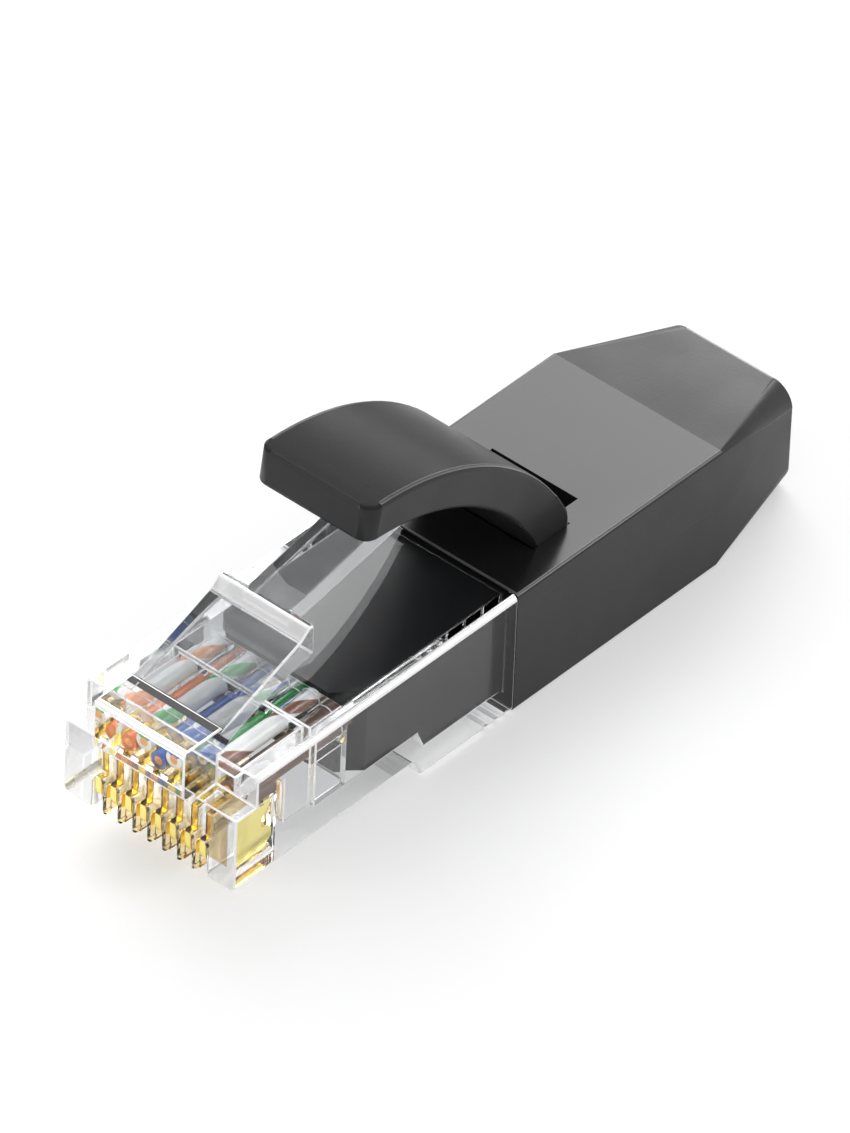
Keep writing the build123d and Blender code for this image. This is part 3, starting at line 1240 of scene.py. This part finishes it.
@dataclass
class Studio:
    """The pale floor, the soft lamps and the camera.

    Attributes:
        distance: how far the camera stands off, in metres.
        scale_px: pixels for each millimetre at that distance.
        lean: how far the camera leans to one side, in degrees.
        floor_half: half the floor's side, in metres.
        floor_plain: the floor's colour as it lights the plug.
        floor_seen: its colour as it is seen.
        floor_glow: light added to that, so that the floor ends in white.
        soft: strength of the world's light on the plug.
        white: strength of the world as it is seen.
    """

    drawing: Drawing
    distance: float = 0.862
    scale_px: float = 19.5
    frame_px: Pair = (850.0, 1133.0)
    sensor: float = 36.0
    azimuth: float = 39.9
    elevation: float = 40.0
    lean: float = 2.5
    aim: Point = (-0.5, 21.5, 6.0)
    clip: Pair = (0.01, 20.0)
    floor_half: float = 4.0
    floor_plain: Colour = (0.8, 0.8, 0.8, 1.0)
    floor_seen: Colour = (0.7, 0.7, 0.705, 1.0)
    floor_glow: float = 0.42
    soft: float = 0.45
    white: float = 1.0

    def build(self) -> None:
        """Builds the floor, the world, the lamps and the camera."""
        self._floor()
        self._world()
        for softbox in SOFTBOXES:
            softbox.hang()
        self._camera()

    def _seen(self, write: Nodes) -> Socket:
        """Tells the rays that see something from the rays that light the plug.

        Args:
            write: the node writer of the floor's or the world's tree.

        Returns:
            A socket with 1 for a ray from the camera, a mirror or glass, and 0 for the others.
        """
        path = write.add("LightPath")
        first = write.maths("MAXIMUM", path.outputs["Is Camera Ray"], path.outputs["Is Glossy Ray"])
        return write.maths("MAXIMUM", first, path.outputs["Is Transmission Ray"])

    def _floor(self) -> None:
        """Lays a pale floor that keeps the plug's shadow and is white elsewhere."""
        work = bmesh.new()
        bmesh.ops.create_grid(work, x_segments=1, y_segments=1, size=self.floor_half)
        floor = show(work, "floor")
        material, write = new_material("pale_floor")
        plain = write.add("BsdfDiffuse", Color=self.floor_plain)
        lit = write.add("BsdfDiffuse", Color=self.floor_seen)
        glow = write.add("Emission", Color=WHITE, Strength=self.floor_glow)
        pale = write.add("AddShader", {0: lit.outputs[0], 1: glow.outputs[0]})
        seen = self._seen(write)
        mix = write.add("MixShader", {0: seen, 1: plain.outputs[0], 2: pale.outputs[0]})
        write.end(mix.outputs[0])
        dress(floor, material)

    def _world(self) -> None:
        """Fills the world with white where it is seen, and with softer light on the plug."""
        world = bpy.data.worlds.new("studio")
        bpy.context.scene.world = world
        world.use_nodes = True
        write = Nodes(world.node_tree)
        soft = write.add("Background", Color=WHITE, Strength=self.soft)
        white = write.add("Background", Color=WHITE, Strength=self.white)
        seen = self._seen(write)
        mix = write.add("MixShader", {0: seen, 1: soft.outputs[0], 2: white.outputs[0]})
        write.add("OutputWorld", {"Surface": mix.outputs[0]})

    def _camera(self) -> None:
        """Sets the camera at the photograph's viewing angle, far off behind a long lens."""
        turn, rise = math.radians(self.azimuth), math.radians(self.elevation)
        flat = Vector((math.sin(turn), -math.cos(turn), 0.0)) * math.cos(rise)
        back = flat + Vector((0.0, 0.0, math.sin(rise)))
        data = bpy.data.cameras.new("camera")
        data.sensor_width = self.sensor
        data.lens = self.scale_px / MM * self.distance * self.sensor / self.frame_px[1]
        data.clip_start, data.clip_end = self.clip
        camera = bpy.data.objects.new("camera", data)
        level = (-back).to_track_quat("-Z", "Y").to_matrix().to_4x4()
        roll = Matrix.Rotation(math.radians(self.lean), 4, "Z")
        place = self.drawing.at(*self.aim) + back * self.distance
        camera.matrix_world = Matrix.Translation(place) @ level @ roll
        bpy.context.scene.collection.objects.link(camera)
        bpy.context.scene.camera = camera


def show(work: Mesh, name: str) -> Object:
    """Turns a mesh into an object of the scene.

    Args:
        work: the mesh, which is freed.
        name: the name of both.

    Returns:
        The new object, at the origin, unturned and unscaled.
    """
    mesh = bpy.data.meshes.new(name)
    work.to_mesh(mesh)
    work.free()
    item = bpy.data.objects.new(name, mesh)
    bpy.context.scene.collection.objects.link(item)
    return item


def dress(node: Object, *materials: Material) -> None:
    """Gives an object these materials in place of its own, and all its faces the first one.

    Args:
        node: the object.
        materials: its new materials, by slot.
    """
    node.data.materials.clear()
    for material in materials:
        node.data.materials.append(material)


def soften(node: Object, width: float, material: int = -1) -> None:
    """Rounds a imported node's sharp edges with modifiers, which leave its mesh as it is.

    Args:
        node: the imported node's object.
        width: the rounding's width in millimetres.
        material: slot of the roundings, -1 for their neighbours' own.
    """
    weld = node.modifiers.new("weld", "WELD")
    weld.merge_threshold = WELD_MM * MM
    bevel = node.modifiers.new("soft_edges", "BEVEL")
    bevel.width = width * MM
    bevel.segments = ROUND_SEGMENTS
    bevel.profile = ROUND_PROFILE
    bevel.limit_method = "ANGLE"
    bevel.angle_limit = math.radians(SHARP_DEG)
    bevel.material = material
    even = node.modifiers.new("even_shading", "WEIGHTED_NORMAL")
    even.keep_sharp = True


def main() -> None:
    """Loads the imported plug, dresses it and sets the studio."""
    logging.basicConfig(level=logging.INFO, format="%(name)s: %(message)s")
    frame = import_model()
    nodes = frame["nodes"]
    drawing = Drawing()
    shape = Shape(drawing)
    groups = Groups()
    clear = [finish.build(groups) for finish in CLEAR_FINISHES]
    black = [finish.build(groups) for finish in BLACK_FINISHES]
    parts = [
        ClearShell(drawing, shape, clear),
        BootMoulding(drawing, shape, black, CORE_FINISH.build(groups)),
        BladeRow(drawing, GoldFinish().build(groups)),
        WireSet(drawing, groups),
    ]
    for part in parts:
        for piece in part.build(nodes):
            LOG.info("%s: %s, %d faces", type(part).__name__, piece.name, len(piece.data.polygons))
    Studio(drawing).build()
    bpy.context.scene.view_settings.view_transform = "Standard"


if __name__ == "__main__":
    main()
